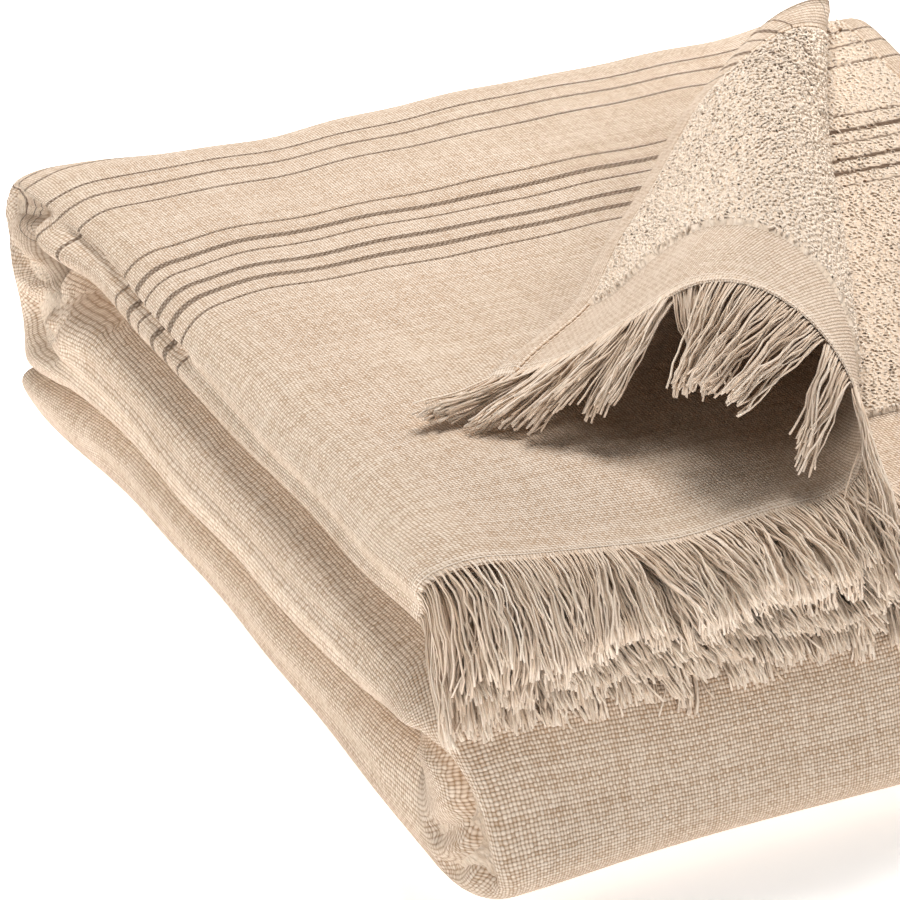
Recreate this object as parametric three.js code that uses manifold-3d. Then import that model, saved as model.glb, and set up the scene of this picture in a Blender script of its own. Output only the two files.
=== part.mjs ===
// Folded bath sheet: one cotton sheet, flat-woven on its face and looped on its back, folded into a stack of
// twenty-four layers, with its front right corner turned back and a knotless yarn fringe on both ends.
// Millimetres, +Z up, +X along the stripes, +Y away from the fringe, origin under the middle of the stack.
import * as THREE from 'three';
import { mergeVertices } from 'three/addons/utils/BufferGeometryUtils.js';
import Module from 'manifold-3d';

const wasm = await Module();
wasm.setup();

// Cloth
const clothThickness = 2.6;
const layerPitch = 3.4;
const layersInBundle = 8;
const layersInStack = 24;

// Places of the folds and edges, measured from the stack's front left bottom corner before it settles
const stack = {
  height: (layersInStack - 1) * layerPitch + clothThickness,
  leftAxis: 13.2,
  middleFold: 246,
  firstSelvedge: 230,
  secondSelvedge: 243,
  frontAxis: 18.8,
  backAxis: 258,
  doubledEnd: 266,
  fringedEnd: 2,
  setBack: 18,
  setBackFrom: 110,
};

// Height of each fold's axis over the lowest layer that it turns
const axis = {
  halfWidth: 0.5 * layerPitch,
  halfLength: 1.5 * layerPitch,
  quarterWidth: 3.5 * layerPitch,
  third: (layersInBundle - 0.5) * layerPitch,
};

// Turned-back corner: a cone of cloth that lifts off the top layer along one line and rolls over to the left
const roll = {
  apexX: 295,
  apexY: 395,
  liftAngle: THREE.MathUtils.degToRad(27),
  reach: 430,
  edgeRadius: 10,
  crownRadius: 27,
  tailSlope: THREE.MathUtils.degToRad(39.4),
  tailStraight: 25,
  tailRadius: 64,
  restHeight: 4.2,
  fadeFrom: 254,
  fadeTo: 278,
};

// Fringe
const fringe = {
  length: 30,
  stripWidth: 4,
  stripThickness: 1.6,
  stripGap: 0.7,
  lockPitch: 7.4,
  lockWidth: 4.6,
  lockDepth: 1,
  tipWidth: 2.8,
  firstReach: 3.2,
  reachPerHeight: 0.58,
  layingClearance: 1.6,
  faceClearance: 1.6,
};

// How the stack settles: soft pushes, each fading out over its reach
const settling = [
  { name: 'middle bundle bulges left', x: 0, y: 120, z: 42, reachX: 34, reachY: 190, reachZ: 13, pushX: -5, pushY: 0, pushZ: 0 },
  { name: 'bottom bundle tucks in', x: 0, y: 190, z: 4, reachX: 34, reachY: 130, reachZ: 12, pushX: 5, pushY: 0, pushZ: 0 },
  { name: 'top bundle drawn in', x: 0, y: 120, z: 72, reachX: 26, reachY: 200, reachZ: 12, pushX: 3, pushY: 0, pushZ: 0 },
  { name: 'crease along the top side', x: 0, y: 130, z: 64, reachX: 9, reachY: 110, reachZ: 3, pushX: 2.4, pushY: 0, pushZ: 0 },
  { name: 'notch, upper lip', x: 8, y: 268, z: 66, reachX: 30, reachY: 34, reachZ: 12, pushX: -3, pushY: 3, pushZ: 5 },
  { name: 'groove climbs to the back', x: 0, y: 262, z: 56, reachX: 30, reachY: 80, reachZ: 17, pushX: 0, pushY: 0, pushZ: 6.4 },
  { name: 'notch, lower lip', x: 6, y: 262, z: 44, reachX: 26, reachY: 30, reachZ: 11, pushX: 5, pushY: -7, pushZ: -5 },
  { name: 'bottom corner spreads', x: 0, y: 270, z: 22, reachX: 40, reachY: 40, reachZ: 16, pushX: -3, pushY: 3, pushZ: 0 },
  { name: 'back left corner bulges', x: 0, y: 266, z: 52, reachX: 40, reachY: 36, reachZ: 26, pushX: -9, pushY: 2, pushZ: 0 },
  { name: 'front left corner stands up', x: 4, y: 0, z: 80, reachX: 30, reachY: 46, reachZ: 22, pushX: 1, pushY: 0, pushZ: 5 },
  { name: 'front left foot', x: 8, y: 0, z: 3, reachX: 34, reachY: 34, reachZ: 14, pushX: -2, pushY: -5, pushZ: 0 },
  { name: 'turned corner leans right', x: 236, y: 232, z: 104, reachX: 26, reachY: 62, reachZ: 20, pushX: 8, pushY: 2, pushZ: 2 },
  { name: 'top layer lies loose', x: 75, y: 15, z: 80, reachX: 60, reachY: 60, reachZ: 2.6, pushX: 0, pushY: 0, pushZ: 0.8 },
  { name: 'front foot spreads', x: 125, y: 4, z: 6, reachX: 900, reachY: 26, reachZ: 17, pushX: 0, pushY: -11, pushZ: 0 },
  { name: 'middle bundle swells up', x: 0, y: 120, z: 52, reachX: 40, reachY: 210, reachZ: 16, pushX: 0, pushY: 0, pushZ: 4 },
];
const frontDroop = 2.4;
const frontDroopReach = 85;
const sideDroop = 2;
const sideDroopReach = 34;
const leftTaper = 1.5;
const waveHeight = 0.5;
const waveLength = 118;

// The bottom rests on its four corners, a hair lower than its flat middle
const underside = {
  rise: 0.1,
  middleX: (stack.leftAxis + stack.middleFold) / 2,
  middleY: (stack.frontAxis + stack.doubledEnd) / 2,
  halfX: (stack.middleFold - stack.leftAxis) / 2,
  halfY: (stack.doubledEnd - stack.frontAxis) / 2,
  cornerSpread: 1.6,
};

const clamp01 = (value) => Math.min(1, Math.max(0, value));
const smooth = (value) => {
  const part = clamp01(value);
  return part * part * (3 - 2 * part);
};
const lerp = THREE.MathUtils.lerp;

// A fold's own length of cloth, taken at the middle of the layers that it turns
const foldLength = (height) => Math.PI * height * 0.5;

// A fold in the middle of a length: along is measured from the fold's middle
function centreFold(along, rise, height) {
  const half = foldLength(height) / 2;
  if (Math.abs(along) >= half) {
    return along < 0 ? [-along - half, rise] : [along - half, 2 * height - rise];
  }
  const angle = Math.PI * (along / (2 * half) + 0.5);
  const radius = height - rise;
  return [-radius * Math.sin(angle), height - radius * Math.cos(angle)];
}

// The sheet doubled once more across its width: run is measured leftwards from the middle fold
function sideFold(run, rise) {
  const start = stack.middleFold - stack.leftAxis;
  const arc = foldLength(axis.quarterWidth);
  if (run <= start) {
    return [stack.middleFold - run, rise];
  }
  const radius = axis.quarterWidth - rise;
  if (run >= start + arc) {
    return [stack.leftAxis + run - start - arc, 2 * axis.quarterWidth - rise];
  }
  const angle = (Math.PI * (run - start)) / arc;
  return [stack.leftAxis - radius * Math.sin(angle), axis.quarterWidth - radius * Math.cos(angle)];
}

// The strip folded back and forth in thirds: run is measured forwards from its doubled end at the bottom
const thirdArc = foldLength(2 * layersInBundle * layerPitch * 0.5);
const firstRun = stack.doubledEnd - stack.frontAxis;
const secondRun = stack.backAxis - stack.frontAxis;
const thirdStart = firstRun + secondRun + 2 * thirdArc;
function thirdsFold(run, rise) {
  if (run <= firstRun) {
    return [stack.doubledEnd - run, rise];
  }
  const pastFront = run - firstRun;
  if (pastFront < thirdArc) {
    const angle = (Math.PI * pastFront) / thirdArc;
    const radius = axis.third - rise;
    return [stack.frontAxis - radius * Math.sin(angle), axis.third - radius * Math.cos(angle)];
  }
  const secondRise = 2 * axis.third - rise;
  const pastSecond = pastFront - thirdArc;
  if (pastSecond <= secondRun) {
    return [stack.frontAxis + pastSecond, secondRise];
  }
  const backHeight = 2 * axis.third + 0.5 * layerPitch;
  const pastBack = pastSecond - secondRun;
  if (pastBack < thirdArc) {
    const angle = (Math.PI * pastBack) / thirdArc;
    const radius = backHeight - secondRise;
    return [stack.backAxis + radius * Math.sin(angle), backHeight - radius * Math.cos(angle)];
  }
  return [stack.backAxis - (pastBack - thirdArc), 2 * backHeight - secondRise];
}

// Cross-section of the turned-back corner on a circle one unit from the cone's apex
const rollSection = (() => {
  const edge = roll.edgeRadius / roll.reach;
  const crown = roll.crownRadius / roll.reach;
  const straight = roll.tailStraight / roll.reach;
  const tail = roll.tailRadius / roll.reach;
  const slope = roll.tailSlope;
  const quarter = Math.PI / 2;
  const edgeEnd = edge * quarter;
  const crownEnd = edgeEnd + crown * (quarter + slope);
  const straightEnd = crownEnd + straight;
  const crownOut = edge - crown * (1 + Math.sin(slope));
  const crownUp = edge + crown * Math.cos(slope);
  const straightOut = crownOut - straight * Math.cos(slope);
  const straightUp = crownUp - straight * Math.sin(slope);
  return (turn) => {
    if (turn <= 0) {
      return { out: turn, up: 0, heading: 0 };
    }
    if (turn < edgeEnd) {
      const angle = turn / edge;
      return { out: edge * Math.sin(angle), up: edge * (1 - Math.cos(angle)), heading: angle };
    }
    if (turn < crownEnd) {
      const angle = quarter + (turn - edgeEnd) / crown;
      return { out: edge + crown * (Math.sin(angle) - 1), up: edge - crown * Math.cos(angle), heading: angle };
    }
    if (turn < straightEnd) {
      const past = turn - crownEnd;
      const heading = Math.PI + slope;
      return { out: crownOut - past * Math.cos(slope), up: crownUp - past * Math.sin(slope), heading };
    }
    const level = Math.min((turn - straightEnd) / tail, slope);
    const out = straightOut - tail * (Math.sin(slope) - Math.sin(slope - level));
    const up = straightUp - tail * (Math.cos(slope - level) - Math.cos(slope));
    return { out, up, heading: Math.PI + slope - level };
  };
})();

// Where a point of the flat top layer goes when the corner is turned back; over is its height over the layer
function turnedBack(x, y, over) {
  const distance = Math.hypot(roll.apexX - x, roll.apexY - y);
  const angle = Math.atan2(roll.apexX - x, roll.apexY - y);
  const turn = roll.liftAngle - angle;
  if (turn <= 0) {
    return new THREE.Vector3(x, y, over);
  }
  const { out, up, heading } = rollSection(turn);
  const around = roll.liftAngle - out;
  const ray = new THREE.Vector3(-Math.sin(around) * Math.cos(up), -Math.cos(around) * Math.cos(up), Math.sin(up));
  const sideways = new THREE.Vector3(Math.cos(around), -Math.sin(around), 0);
  const upwards = new THREE.Vector3(Math.sin(around) * Math.sin(up), Math.cos(around) * Math.sin(up), Math.cos(up));
  const point = ray.multiplyScalar(distance);
  point.x += roll.apexX;
  point.y += roll.apexY;
  point.z += roll.restHeight * smooth((heading - Math.PI / 2) / (Math.PI / 2));
  point.addScaledVector(sideways, -Math.sin(heading) * over);
  point.addScaledVector(upwards, Math.cos(heading) * over);
  const fade = 1 - smooth((y - roll.fadeFrom) / (roll.fadeTo - roll.fadeFrom));
  return point.sub(new THREE.Vector3(x, y, over)).multiplyScalar(fade).add(new THREE.Vector3(x, y, over));
}

// Settled place of a point of the stack
function settle(point) {
  const { x, y, z } = point;
  const low = clamp01(z / 10);
  const share = Math.min(z / stack.height, 1);
  const left = clamp01(1 - x / stack.middleFold);
  const settled = new THREE.Vector3(x, y, z);
  settled.x += leftTaper * left * smooth(y / stack.backAxis);
  settled.z -= frontDroop * share * (1 - smooth(y / frontDroopReach));
  settled.z -= sideDroop * share * (1 - smooth(x / sideDroopReach));
  const wave = Math.sin((2 * Math.PI * (x - 0.35 * y)) / waveLength) * Math.cos((2 * Math.PI * y) / (2.3 * waveLength));
  settled.z += waveHeight * share * low * wave;
  const fromMiddleX = Math.min(Math.abs(x - underside.middleX) / underside.halfX, 1);
  const fromMiddleY = Math.min(Math.abs(y - underside.middleY) / underside.halfY, 1);
  const offCorner = clamp01(underside.cornerSpread * (1 - fromMiddleX * fromMiddleY));
  settled.z += underside.rise * offCorner * (1 - low);
  for (const push of settling) {
    const across = ((x - push.x) / push.reachX) ** 2;
    const along = ((y - push.y) / push.reachY) ** 2;
    const upright = ((z - push.z) / push.reachZ) ** 2;
    const strength = Math.exp(-(across + along + upright));
    settled.x += push.pushX * strength;
    settled.y += push.pushY * strength;
    settled.z += push.pushZ * strength * low;
  }
  return settled;
}

// Lengths of cloth between the middle folds and the edges
const halfA = foldLength(axis.halfWidth) / 2;
const halfB = foldLength(axis.halfLength) / 2;
const upperRunStart = stack.middleFold - stack.leftAxis + foldLength(axis.quarterWidth);
const acrossOfX = (x) => upperRunStart + x - stack.leftAxis;
const lengthOfY = (y) => thirdStart + stack.backAxis - y;

// Folded, unsettled place of the sheet's point: across and length are measured from the sheet's middle,
// and depth from the middle of the cloth towards its looped side
function foldedPoint(across, length, depth) {
  const [runAcross, riseA] = centreFold(across, depth, axis.halfWidth);
  const [runLength, riseB] = centreFold(length, riseA, axis.halfLength);
  const [x, riseC] = sideFold(runAcross, riseB);
  const [y, z] = thirdsFold(runLength, riseC);
  const point = new THREE.Vector3(x, y, z);
  const onTop = across < 0 && length < 0 && runAcross > upperRunStart && runLength > thirdStart - thirdArc / 3;
  if (runLength > thirdStart) {
    const below = (stack.height - clothThickness - z) / (layersInBundle * layerPitch);
    point.y += stack.setBack * below * smooth((stack.setBackFrom - y) / (stack.setBackFrom - stack.fringedEnd));
  }
  if (onTop) {
    const flatY = stack.backAxis - (runLength - thirdStart);
    const lifted = turnedBack(x, flatY, -depth);
    point.x += lifted.x - x;
    point.y += lifted.y - flatY;
    point.z += lifted.z + depth;
  }
  point.z += clothThickness / 2;
  return point;
}

// Stations along a list of places, each step cut into parts
function stations(places) {
  const list = [places[0].at];
  for (let index = 1; index < places.length; index += 1) {
    const { at, parts } = places[index];
    const from = places[index - 1].at;
    for (let part = 1; part <= parts; part += 1) {
      list.push(from + ((at - from) * part) / parts);
    }
  }
  return list;
}

const cornerLeft = 44;
const innerX = 106;
const outerX = 168;
const acrossHalf = (selvedge) => [
  { at: halfA, parts: 0 },
  { at: halfA + stack.middleFold - outerX, parts: 1 },
  { at: halfA + stack.middleFold - innerX, parts: 1 },
  { at: halfA + stack.middleFold - cornerLeft, parts: 1 },
  { at: halfA + stack.middleFold - stack.leftAxis, parts: 1 },
  { at: halfA + upperRunStart, parts: 6 },
  { at: halfA + acrossOfX(cornerLeft), parts: 1 },
  { at: halfA + acrossOfX(innerX), parts: 1 },
  { at: halfA + acrossOfX(outerX), parts: 1 },
  { at: halfA + acrossOfX(selvedge), parts: 1 },
];
const lengthHalf = [
  { at: halfB, parts: 0 },
  { at: halfB + firstRun, parts: 4 },
  { at: halfB + firstRun + thirdArc, parts: 6 },
  { at: halfB + firstRun + thirdArc + secondRun, parts: 4 },
  { at: halfB + thirdStart, parts: 6 },
  { at: halfB + lengthOfY(stack.fringedEnd), parts: 6 },
];
const mirrored = (list) => list.map((value) => -value).reverse();
const foldParts = [-0.5, 0, 0.5];
const acrossStations = [
  ...mirrored(stations(acrossHalf(stack.firstSelvedge))).slice(0, -1),
  ...foldParts.map((part) => part * 2 * halfA),
  ...stations(acrossHalf(stack.secondSelvedge)).slice(1),
];
const lengthStations = [
  ...mirrored(stations(lengthHalf)).slice(0, -1),
  ...[-0.5, -0.17, 0.17, 0.5].map((part) => part * 2 * halfB),
  ...stations(lengthHalf).slice(1),
];

// The part of the top layer that holds the turned-back corner has its own, closer columns and rows
const cornerAcross = -(halfA + acrossOfX(cornerLeft));
const cornerBack = -(halfB + thirdStart);
const rowsPerStation = 3;
const plainColumns = [0, 0.5];
const rollColumns = [0, 0.05, 0.1, 0.16, 0.23, 0.3, 0.38, 0.47, 0.56, 0.66, 0.77, 0.88, 1];
const liftX = (y) => roll.apexX - Math.tan(roll.liftAngle) * (roll.apexY - y);
function cornerColumns(y) {
  const lift = liftX(y);
  const plain = plainColumns.map((part) => lerp(cornerLeft, lift, part));
  const turned = rollColumns.map((part) => lerp(lift, stack.firstSelvedge, part));
  return [...plain, ...turned].map((x) => -(halfA + acrossOfX(x)));
}

// The flat sheet cut into cells, listed by their corners
function sheetCells() {
  const cells = [];
  const cornerRows = lengthStations.filter((value) => value <= cornerBack + 1e-6);
  const fineRows = stations(cornerRows.map((at, index) => ({ at, parts: index === 0 ? 0 : rowsPerStation })));
  const rowY = (length) => stack.backAxis - (-length - halfB - thirdStart);
  const near = (a, b) => Math.abs(a - b) < 1e-6;
  for (let row = 0; row + 1 < lengthStations.length; row += 1) {
    for (let column = 0; column + 1 < acrossStations.length; column += 1) {
      const [left, right] = [acrossStations[column], acrossStations[column + 1]];
      const [low, high] = [lengthStations[row], lengthStations[row + 1]];
      const inCorner = right <= cornerAcross + 1e-6 && high <= cornerBack + 1e-6;
      if (inCorner) {
        continue;
      }
      const corners = [[left, low], [right, low], [right, high], [left, high]];
      if (near(left, cornerAcross) && high <= cornerBack + 1e-6) {
        const between = fineRows.filter((value) => value > low + 1e-6 && value < high - 1e-6).reverse();
        corners.push(...between.map((value) => [left, value]));
      }
      if (near(low, cornerBack) && right <= cornerAcross + 1e-6) {
        const columns = cornerColumns(stack.backAxis).filter((value) => value > left + 1e-6 && value < right - 1e-6);
        corners.splice(1, 0, ...columns.sort((a, b) => a - b).map((value) => [value, low]));
      }
      cells.push(corners);
    }
  }
  for (let row = 0; row + 1 < fineRows.length; row += 1) {
    const [low, high] = [fineRows[row], fineRows[row + 1]];
    const lower = cornerColumns(rowY(low)).reverse();
    const upper = cornerColumns(rowY(high)).reverse();
    const backRow = near(high, cornerBack);
    for (let column = 0; column + 1 < lower.length; column += 1) {
      const corners = [[lower[column], low], [lower[column + 1], low], [upper[column + 1], high]];
      if (backRow) {
        const between = acrossStations.filter((v) => v > upper[column] + 1e-6 && v < upper[column + 1] - 1e-6);
        corners.push(...between.reverse().map((value) => [value, high]));
      }
      corners.push([upper[column], high]);
      cells.push(corners);
    }
  }
  return cells;
}

// A cell's triangles: two for four corners, cut the same way in every layer, and a fan round its middle for more
function cellTriangles(corners) {
  if (corners.length === 4) {
    const [first, , third] = corners.map(([across, length]) => foldedPoint(across, length, 0));
    const [a, b, c, d] = corners;
    const rising = (third.x - first.x) * (third.y - first.y) > 0;
    return rising ? [[a, b, c], [a, c, d]] : [[b, c, d], [b, d, a]];
  }
  const middle = [0, 1].map((part) => corners.reduce((sum, corner) => sum + corner[part], 0) / corners.length);
  return corners.map((corner, index) => [corner, corners[(index + 1) % corners.length], middle]);
}

// Closed geometry from triangles of points, with shared points merged and faces pointing out
function closedGeometry(triangles) {
  const positions = triangles.flat().flatMap((point) => [point.x, point.y, point.z]);
  const loose = new THREE.BufferGeometry();
  loose.setAttribute('position', new THREE.Float32BufferAttribute(positions, 3));
  const merged = mergeVertices(loose, 1e-3);
  const place = merged.attributes.position;
  const index = Array.from(merged.index.array);
  let volume = 0;
  const [a, b, c] = [new THREE.Vector3(), new THREE.Vector3(), new THREE.Vector3()];
  for (let corner = 0; corner < index.length; corner += 3) {
    a.fromBufferAttribute(place, index[corner]);
    b.fromBufferAttribute(place, index[corner + 1]);
    c.fromBufferAttribute(place, index[corner + 2]);
    volume += a.dot(b.cross(c));
  }
  if (volume < 0) {
    for (let corner = 0; corner < index.length; corner += 3) {
      [index[corner], index[corner + 1]] = [index[corner + 1], index[corner]];
    }
    merged.setIndex(index);
  }
  return merged;
}

function toManifold(geometry) {
  const vertProperties = new Float32Array(geometry.attributes.position.array);
  const triVerts = new Uint32Array(geometry.index.array);
  return new wasm.Manifold(new wasm.Mesh({ numProp: 3, vertProperties, triVerts }));
}

function toGeometry(solid) {
  const mesh = solid.getMesh();
  const geometry = new THREE.BufferGeometry();
  geometry.setAttribute('position', new THREE.Float32BufferAttribute(mesh.vertProperties, 3));
  geometry.setIndex(Array.from(mesh.triVerts));
  return geometry;
}

// The sheet: both faces of every cell, and a wall along every edge that only one cell has
function sheetGeometry() {
  const half = clothThickness / 2;
  const flat = sheetCells().flatMap(cellTriangles);
  const key = ([across, length]) => `${across.toFixed(4)},${length.toFixed(4)}`;
  const edges = new Map();
  for (const triangle of flat) {
    triangle.forEach((corner, index) => {
      const next = triangle[(index + 1) % 3];
      const name = `${key(corner)}|${key(next)}`;
      const opposite = `${key(next)}|${key(corner)}`;
      if (edges.has(opposite)) {
        edges.delete(opposite);
      } else {
        edges.set(name, [corner, next]);
      }
    });
  }
  const at = ([across, length], depth) => settle(foldedPoint(across, length, depth));
  const triangles = [];
  for (const [first, second, third] of flat) {
    triangles.push([at(first, half), at(second, half), at(third, half)]);
    triangles.push([at(first, -half), at(third, -half), at(second, -half)]);
  }
  for (const [from, to] of edges.values()) {
    triangles.push([at(from, half), at(from, -half), at(to, -half)]);
    triangles.push([at(from, half), at(to, -half), at(to, half)]);
  }
  return closedGeometry(triangles);
}

// Seeded random numbers, the same on every run
function seededRandom(seed) {
  let state = seed;
  return () => {
    state = (state * 1664525 + 1013904223) % 4294967296;
    return state / 4294967296;
  };
}

// A closed tube of rings that all have the same number of points
function ringTube(rings) {
  const sides = rings[0].length;
  const triangles = [];
  for (let ring = 0; ring + 1 < rings.length; ring += 1) {
    for (let side = 0; side < sides; side += 1) {
      const next = (side + 1) % sides;
      triangles.push([rings[ring][side], rings[ring][next], rings[ring + 1][next]]);
      triangles.push([rings[ring][side], rings[ring + 1][next], rings[ring + 1][side]]);
    }
  }
  for (const [ring, order] of [[rings[0], 1], [rings[rings.length - 1], -1]]) {
    for (let side = 1; side + 1 < sides; side += 1) {
      const face = order > 0 ? [ring[0], ring[side + 1], ring[side]] : [ring[0], ring[side], ring[side + 1]];
      triangles.push(face);
    }
  }
  return closedGeometry(triangles);
}

const bundleFloor = 2 * layersInBundle * layerPitch + clothThickness / 2;
const topSurface = stack.height;

// Rounded front face of the two lower bundles, a clearance out from the cloth, at a height
function frontFace(z, clearance) {
  const radius = axis.third + clothThickness / 2 + clearance;
  const rise = Math.min((z - clothThickness / 2 - axis.third) / radius, 1);
  return stack.frontAxis - radius * Math.sqrt(1 - rise * rise);
}

// Course of a lock that hangs over the front edge
function hangingCourse(root, lean) {
  const height = root.z - bundleFloor;
  const reach = fringe.firstReach + fringe.reachPerHeight * height;
  const drop = fringe.firstReach + height;
  const shell = fringe.faceClearance + fringe.reachPerHeight * height;
  const course = [root.clone()];
  const step = 0.02;
  let travelled = 0;
  for (let part = step; travelled < fringe.length * 1.2; part += step) {
    const angle = Math.min(part, 1) * Math.PI / 2;
    const below = Math.max(part - 1, 0) * fringe.length;
    const z = root.z - drop * (1 - Math.cos(angle)) - below;
    const y = Math.min(root.y - reach * Math.sin(angle), frontFace(z, shell));
    const x = root.x + lean * clamp01(travelled / fringe.length);
    const point = new THREE.Vector3(x, y, z);
    travelled += point.distanceTo(course[course.length - 1]);
    course.push(point);
  }
  return course;
}

// Course of a lock that leaves the turned-back corner and falls on the stack or past its front edge
function fallingCourse(root, outward, lean) {
  const course = [root.clone()];
  const heading = outward.clone().normalize();
  const step = 1.5;
  const shell = fringe.faceClearance + fringe.reachPerHeight * (topSurface - bundleFloor);
  for (let travelled = 0; travelled < fringe.length * 1.2; travelled += step) {
    const last = course[course.length - 1];
    heading.z -= 0.13;
    heading.x += lean * 0.01;
    heading.normalize();
    const point = last.clone().addScaledVector(heading, step);
    const floor = topSurface + fringe.lockDepth / 2 + fringe.layingClearance;
    if (point.y > -2 && point.z < floor) {
      point.z = floor;
      heading.z = 0;
    }
    if (point.y <= -2) {
      point.y = Math.min(point.y, frontFace(point.z, shell));
    }
    course.push(point);
  }
  return course;
}

// Point at a distance along a course
function alongCourse(course, distance) {
  let left = distance;
  for (let index = 1; index < course.length; index += 1) {
    const span = course[index].distanceTo(course[index - 1]);
    if (left <= span) {
      return course[index - 1].clone().lerp(course[index], left / span);
    }
    left -= span;
  }
  return course[course.length - 1].clone();
}

// One lock of yarns: a three-sided tapered tube along its course
function lockGeometry(course, side, length, parts) {
  const rings = [];
  for (let part = 0; part <= parts; part += 1) {
    const share = part / parts;
    const centre = alongCourse(course, share * length);
    const ahead = alongCourse(course, Math.min(share * length + 1, length * 1.1));
    const behind = alongCourse(course, Math.max(share * length - 1, 0));
    const heading = ahead.sub(behind).normalize();
    const across = side.clone().addScaledVector(heading, -side.dot(heading)).normalize();
    const out = new THREE.Vector3().crossVectors(across, heading);
    const width = lerp(fringe.lockWidth, fringe.tipWidth, share) / 2;
    const depth = fringe.lockDepth / 2;
    rings.push([
      settle(centre.clone().addScaledVector(across, -width).addScaledVector(out, -depth)),
      settle(centre.clone().addScaledVector(across, width).addScaledVector(out, -depth)),
      settle(centre.clone().addScaledVector(out, depth)),
    ]);
  }
  return ringTube(rings);
}

// One end's fringe: a narrow strip along the cloth's folded edge, with the locks fused to it
function fringeGeometry(end, seed) {
  const random = seededRandom(seed);
  const inner = halfB + lengthOfY(stack.fringedEnd) + fringe.stripGap;
  const outer = inner + fringe.stripWidth;
  const half = fringe.stripThickness / 2;
  const corner = cornerColumns(stack.fringedEnd).reverse();
  const coarse = acrossStations.filter((value) => end > 0 || value > cornerAcross + 1e-6);
  const places = end > 0 ? coarse : [...corner, ...coarse];
  const at = (across, length, depth) => foldedPoint(across, end * length, depth);
  const rings = places.map((across) => [
    settle(at(across, inner, -half)),
    settle(at(across, outer, -half)),
    settle(at(across, outer, half)),
    settle(at(across, inner, half)),
  ]);
  const onStrip = (across, length, put) => {
    const next = places.findIndex((value, index) => index > 0 && value >= across);
    const share = (across - places[next - 1]) / (places[next] - places[next - 1]);
    return put(at(places[next - 1], length, 0)).lerp(put(at(places[next], length, 0)), share);
  };
  const loose = (point) => point;
  const solids = [toManifold(ringTube(rings))];
  const [first, last] = [places[0] + fringe.lockWidth / 2, places[places.length - 1] - fringe.lockWidth / 2];
  const count = Math.floor((last - first) / fringe.lockPitch);
  for (let lock = 0; lock <= count; lock += 1) {
    const across = lerp(first, last, lock / count);
    const root = onStrip(across, outer - fringe.lockDepth, loose);
    const seat = onStrip(across, outer - fringe.lockDepth, settle).sub(settle(root));
    const outward = onStrip(across, outer, loose).sub(onStrip(across, inner, loose));
    const side = onStrip(across + 1, outer, loose).sub(onStrip(across - 1, outer, loose)).normalize();
    const lifted = end < 0 && root.z > topSurface + 0.2;
    const wander = 2.2 * Math.sin(root.x / 19) + 0.6 * (random() - 0.5);
    const length = fringe.length * (0.9 + 0.12 * random());
    const course = lifted ? fallingCourse(root, outward, wander) : hangingCourse(root, wander);
    const parts = end < 0 && across < -upperRunStart ? 3 : 2;
    solids.push(toManifold(lockGeometry(course, side, length, parts).translate(seat.x, seat.y, seat.z)));
  }
  const joined = wasm.Manifold.union(solids).decompose();
  return toGeometry(joined.sort((one, other) => other.volume() - one.volume())[0]);
}

const yarn = { roughness: 0.95, metalness: 0 };
const clothMaterial = new THREE.MeshStandardMaterial({ color: 0xe6cfb4, ...yarn });
const firstFringeMaterial = new THREE.MeshStandardMaterial({ color: 0xe3c9aa, ...yarn });
const secondFringeMaterial = new THREE.MeshStandardMaterial({ color: 0xdcc0a0, ...yarn });

function namedMesh(name, geometry, material) {
  const mesh = new THREE.Mesh(geometry, material);
  mesh.name = name;
  return mesh;
}

const towel = new THREE.Group();
towel.add(namedMesh('cloth', sheetGeometry(), clothMaterial));
towel.add(namedMesh('fringe_outer_end', fringeGeometry(-1, 11), firstFringeMaterial));
towel.add(namedMesh('fringe_inner_end', fringeGeometry(1, 23), secondFringeMaterial));

// The origin is moved under the middle of the whole
const bounds = new THREE.Box3().setFromObject(towel);
const middle = bounds.getCenter(new THREE.Vector3());
towel.position.set(-middle.x, -middle.y, -bounds.min.z);

export default towel;
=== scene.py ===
"""Folded bath sheet: a large cotton sheet, flat-woven on its face and looped on its back, folded into a
stack with its front right corner turned back. Lengths are worked out in millimetres, as a weaver measures,
and turned into metres when a mesh is made."""
import math

import bpy
import numpy as np
from mathutils import Matrix, Vector


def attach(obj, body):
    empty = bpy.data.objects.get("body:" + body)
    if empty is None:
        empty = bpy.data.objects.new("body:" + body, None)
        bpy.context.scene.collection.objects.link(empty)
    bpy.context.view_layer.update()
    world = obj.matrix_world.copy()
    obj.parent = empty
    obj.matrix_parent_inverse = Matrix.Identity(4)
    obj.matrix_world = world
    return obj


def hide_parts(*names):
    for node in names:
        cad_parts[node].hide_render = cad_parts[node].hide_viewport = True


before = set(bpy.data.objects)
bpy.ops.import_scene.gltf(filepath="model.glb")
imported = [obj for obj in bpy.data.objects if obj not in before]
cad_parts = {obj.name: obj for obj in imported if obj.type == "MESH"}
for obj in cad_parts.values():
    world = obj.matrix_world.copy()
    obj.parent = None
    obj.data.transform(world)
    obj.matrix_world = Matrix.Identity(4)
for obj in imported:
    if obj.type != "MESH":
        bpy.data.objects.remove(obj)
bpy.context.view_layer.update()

millimetre = 0.001

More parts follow.
